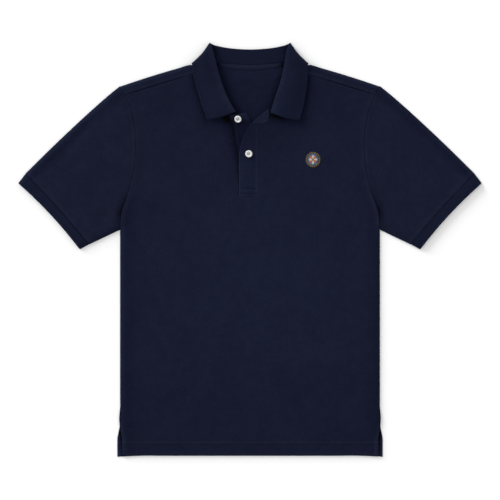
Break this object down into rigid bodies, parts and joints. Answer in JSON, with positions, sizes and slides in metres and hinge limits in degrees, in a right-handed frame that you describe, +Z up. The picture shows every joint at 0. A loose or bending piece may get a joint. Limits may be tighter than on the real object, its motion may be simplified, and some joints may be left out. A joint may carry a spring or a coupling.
{
  "type": "polo shirt laid flat",
  "caption": "Short-sleeved polo shirt laid flat on its back, with a folded rib collar, open button placket, rib cuffs and side vents.",
  "frame": {"origin": "on the surface that the shirt lies on, under the middle of its bounding box", "axes": "+X to the wearer's left, which is the viewer's right, +Y from hem to collar, +Z up through the layers"},
  "size_m": [0.891, 0.7966, 0.0129],
  "materials": {
    "pique": "washed cotton pique knit, matt",
    "rib": "fine flat-knit rib, matt",
    "tape": "twill tape",
    "button": "off-white, lightly polished",
    "motif": "satin-stitch embroidery"
  },
  "bodies": {
    "root": {"back_panel": "pique", "front_panel": "pique", "sleeve_left": "pique", "sleeve_right": "pique", "cuff_left": "rib", "cuff_right": "rib", "collar": "rib", "placket_top": "pique", "placket_under": "pique", "neck_tape": "tape", "button_neck": "button", "button_chest": "button", "chest_motif": "motif"}
  },
  "joints": []
}
